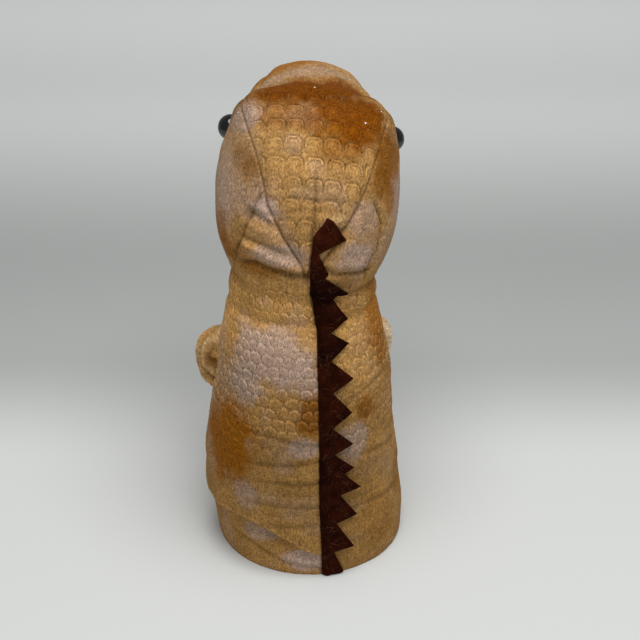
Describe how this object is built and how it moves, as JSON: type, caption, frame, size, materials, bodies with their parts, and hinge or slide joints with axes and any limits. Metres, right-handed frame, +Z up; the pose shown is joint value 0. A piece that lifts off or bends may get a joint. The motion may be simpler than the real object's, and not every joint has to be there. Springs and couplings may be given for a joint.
{
  "type": "dinosaur hand puppet",
  "caption": "Soft dinosaur hand puppet that stands on its open hem, with a turning stuffed head, a hinged jaw, swinging stuffed arms and a felt spike strip down the back.",
  "frame": {"origin": "centre of the round hem opening, on the table", "axes": "+Z up from the hem to the head, -Y the way the snout faces, +X the dinosaur's left"},
  "size_m": [0.1291, 0.1669, 0.2802],
  "materials": {
    "velour": "matte",
    "lining": "matte",
    "stuffing": "matte",
    "spike_felt": "matte",
    "tooth_felt": "matte",
    "mouth_cloth": "matte",
    "eye_plastic": "gloss"
  },
  "bodies": {
    "sleeve": {"back_left_panel": "velour", "back_right_panel": "velour", "belly_panel": "velour", "hem_facing": "velour", "sleeve_lining": "lining", "back_spikes": "spike_felt"},
    "neck": {"neck_cloth": "velour", "neck_lining": "lining", "neck_spike": "spike_felt"},
    "head": {"crown_panel": "velour", "left_cheek_panel": "velour", "right_cheek_panel": "velour", "left_nape_panel": "velour", "right_nape_panel": "velour", "head_stuffing": "stuffing", "finger_lining": "lining", "upper_mouth_plate": "mouth_cloth", "mouth_fold": "mouth_cloth", "upper_teeth": "tooth_felt", "head_spikes": "spike_felt", "left_eye": "eye_plastic", "right_eye": "eye_plastic", "left_eye_washer": "eye_plastic", "right_eye_washer": "eye_plastic"},
    "jaw": {"jaw_panel": "velour", "jaw_stuffing": "stuffing", "thumb_lining": "lining", "lower_mouth_plate": "mouth_cloth", "lower_teeth": "tooth_felt", "tongue": "mouth_cloth"},
    "left_arm": {"left_arm_cover": "velour", "left_arm_stuffing": "stuffing", "left_claws": "spike_felt"},
    "right_arm": {"right_arm_cover": "velour", "right_arm_stuffing": "stuffing", "right_claws": "spike_felt"}
  },
  "joints": [
    {"name": "head_turn", "type": "hinge", "parent": "sleeve", "child": "neck", "pos_m": [0.005, 0, 0.172], "axis": [0, 0, 1], "range_deg": [-25, 25], "stiffness_Nm_per_rad": 0.2, "deforming": ["neck_cloth", "neck_lining", "neck_spike"]},
    {"name": "head_nod", "type": "hinge", "parent": "neck", "child": "head", "pos_m": [0.005, 0, 0.172], "axis": [0.9865, -0.1386, 0.0872], "range_deg": [-20, 10], "stiffness_Nm_per_rad": 0.6, "springref_deg": -2.86},
    {"name": "jaw_open", "type": "hinge", "parent": "head", "child": "jaw", "pos_m": [-0.00224, -0.02928, 0.20736], "axis": [0.9865, -0.1386, 0.0872], "range_deg": [0, 24], "stiffness_Nm_per_rad": 0.04, "springref_deg": -8.59},
    {"name": "left_arm_swing", "type": "hinge", "parent": "sleeve", "child": "left_arm", "pos_m": [0.04537, -0.03415, 0.108], "axis": [0.766, -0.6428, 0], "range_deg": [-40, 25], "stiffness_Nm_per_rad": 0.03},
    {"name": "right_arm_swing", "type": "hinge", "parent": "sleeve", "child": "right_arm", "pos_m": [-0.03752, -0.03351, 0.108], "axis": [0.766, 0.6428, 0], "range_deg": [-40, 25], "stiffness_Nm_per_rad": 0.03}
  ]
}
